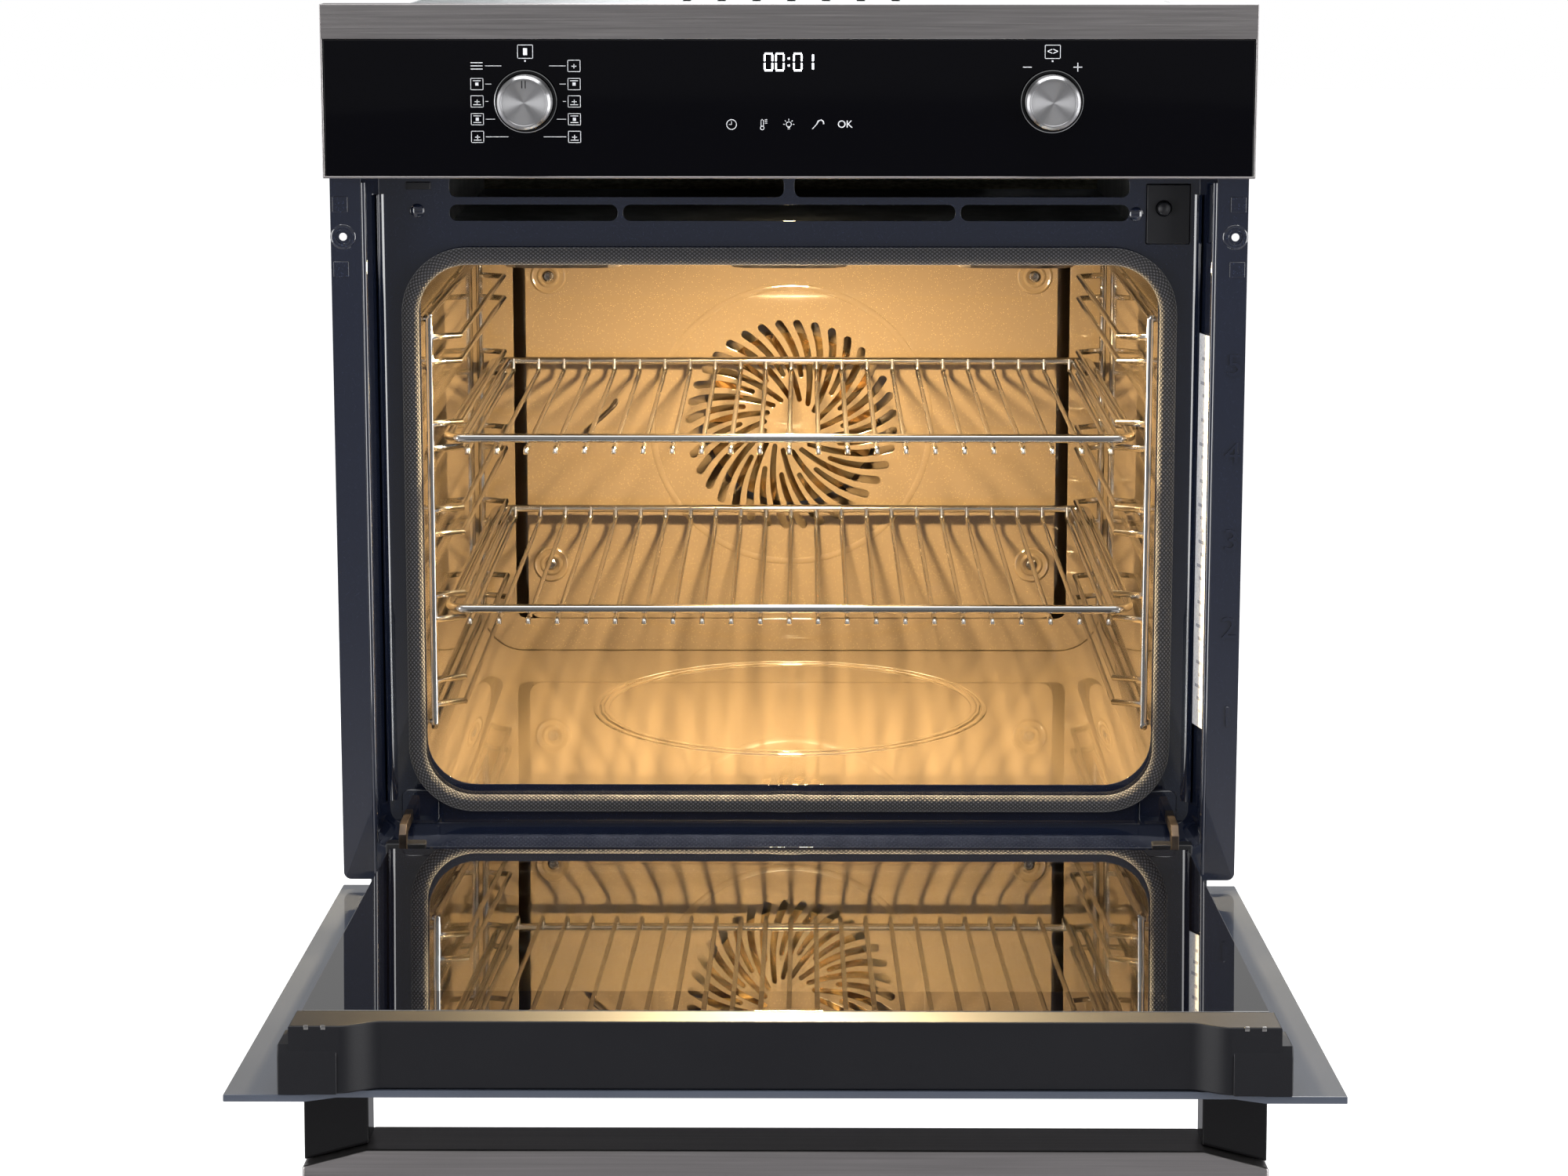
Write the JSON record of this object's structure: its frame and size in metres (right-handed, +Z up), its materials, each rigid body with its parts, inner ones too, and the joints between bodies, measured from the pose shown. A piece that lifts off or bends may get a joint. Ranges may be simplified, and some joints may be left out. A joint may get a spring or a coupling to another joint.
{
  "type": "wall oven",
  "caption": "Built-in wall oven with a black glass control strip, a steel trim, knobs, an enamelled cavity with wire shelves and a drop-down glass door with a bar handle.",
  "frame": {"origin": "centre of the base plate's footprint, on the surface that the oven rests on", "axes": "+Z up; the front faces -Y; +X is on the right of someone who faces the oven"},
  "size_m": [0.595, 1.0242, 0.6171],
  "materials": {
    "enamel": "gloss vitreous enamel, navy black with fine light flecks",
    "galvanised": "zinc-coated steel sheet, spangled satin",
    "brushed_steel": "brushed stainless steel with a long fine grain",
    "knob_metal": "turned metal with a bright chamfer",
    "screw_steel": "plain stainless steel",
    "chrome": "bright chromed wire",
    "black_glass": "toughened glass printed black on its back",
    "clear_glass": "toughened glass with a printed black border",
    "black_plastic": "matt black moulding",
    "gloss_plastic": "gloss black moulding",
    "glass_fibre": "knitted grey glass-fibre braid",
    "mineral_wool": "pale mineral wool",
    "heater_steel": "oxidised heater sheath",
    "motor_steel": "lacquered motor laminations and can",
    "lamp_glow": "lit halogen capsule",
    "circuit_board": "green solder mask",
    "white_print": "white screen print",
    "display_light": "lit white display segments",
    "label_film": "printed white film label",
    "rubber": "soft black rubber"
  },
  "bodies": {
    "chassis": {"base_plate": "galvanised", "left_side_panel": "galvanised", "right_side_panel": "galvanised", "top_cover": "galvanised", "rear_panel": "galvanised", "front_frame": "enamel", "cavity_wrapper": "enamel", "cavity_back": "enamel", "insulation_blanket": "mineral_wool", "door_gasket": "glass_fibre", "lamp_holder": "galvanised", "lamp_glass": "clear_glass", "lamp_bulb": "lamp_glow", "fan_cover": "enamel", "fan_cover_screw_1": "screw_steel", "fan_cover_screw_2": "screw_steel", "fan_cover_screw_3": "screw_steel", "fan_cover_screw_4": "screw_steel", "fan_motor": "motor_steel", "ring_heater": "heater_steel", "grill_element": "heater_steel", "base_element": "heater_steel", "side_rack_left": "chrome", "side_rack_right": "chrome", "fascia_trim": "brushed_steel", "fascia_glass": "black_glass", "fascia_carrier": "black_plastic", "control_board": "circuit_board", "function_bezel": "knob_metal", "function_switch": "black_plastic", "setting_bezel": "knob_metal", "setting_encoder": "black_plastic", "air_duct": "galvanised", "blower_housing": "galvanised", "blower_motor": "motor_steel", "door_switch_body": "black_plastic", "terminal_box": "black_plastic", "hinge_arm_left": "galvanised", "hinge_receiver_left": "galvanised", "hinge_arm_right": "galvanised", "hinge_receiver_right": "galvanised"},
    "door": {"door_outer_glass": "black_glass", "door_inner_glass": "clear_glass", "door_middle_glass": "clear_glass", "door_column_left": "black_plastic", "door_column_right": "black_plastic", "door_top_cap": "black_plastic", "door_bottom_rail": "black_plastic", "hinge_case_left": "galvanised", "hinge_case_right": "galvanised", "handle_bar": "brushed_steel", "handle_bracket_left": "gloss_plastic", "handle_bracket_right": "gloss_plastic"},
    "shelf_upper": {"shelf_upper": "chrome"},
    "shelf_lower": {"shelf_lower": "chrome"},
    "function_knob": {"function_knob": "knob_metal"},
    "setting_knob": {"setting_knob": "knob_metal"},
    "fan": {"fan_impeller": "galvanised"},
    "blower": {"blower_rotor": "galvanised"},
    "door_switch_plunger": {"door_switch_plunger": "gloss_plastic"}
  },
  "joints": [
    {"name": "door_hinge", "type": "hinge", "parent": "chassis", "child": "door", "pos_m": [0, -0.2885, 0.009], "axis": [1, 0, 0], "range_deg": [-86.55, 0]},
    {"name": "upper_shelf_slide", "type": "slide", "parent": "chassis", "child": "shelf_upper", "axis": [0, -1, 0], "range_m": [0, 0.29]},
    {"name": "lower_shelf_slide", "type": "slide", "parent": "chassis", "child": "shelf_lower", "axis": [0, -1, 0], "range_m": [0, 0.29]},
    {"name": "function_turn", "type": "hinge", "parent": "chassis", "child": "function_knob", "pos_m": [-0.1673, -0.2965, 0.5266], "axis": [0, -1, 0], "continuous": true},
    {"name": "setting_turn", "type": "hinge", "parent": "chassis", "child": "setting_knob", "pos_m": [0.1673, -0.2965, 0.5266], "axis": [0, -1, 0], "continuous": true},
    {"name": "fan_spin", "type": "hinge", "parent": "chassis", "child": "fan", "pos_m": [0, 0.1935, 0.2456], "axis": [0, -1, 0], "continuous": true},
    {"name": "blower_spin", "type": "hinge", "parent": "chassis", "child": "blower", "pos_m": [0, 0.1185, 0.484], "axis": [1, 0, 0], "continuous": true},
    {"name": "door_switch_press", "type": "slide", "parent": "chassis", "child": "door_switch_plunger", "axis": [0, 1, 0], "range_m": [0, 0.004], "stiffness_N_per_m": 150, "springref_m": -0.002}
  ]
}
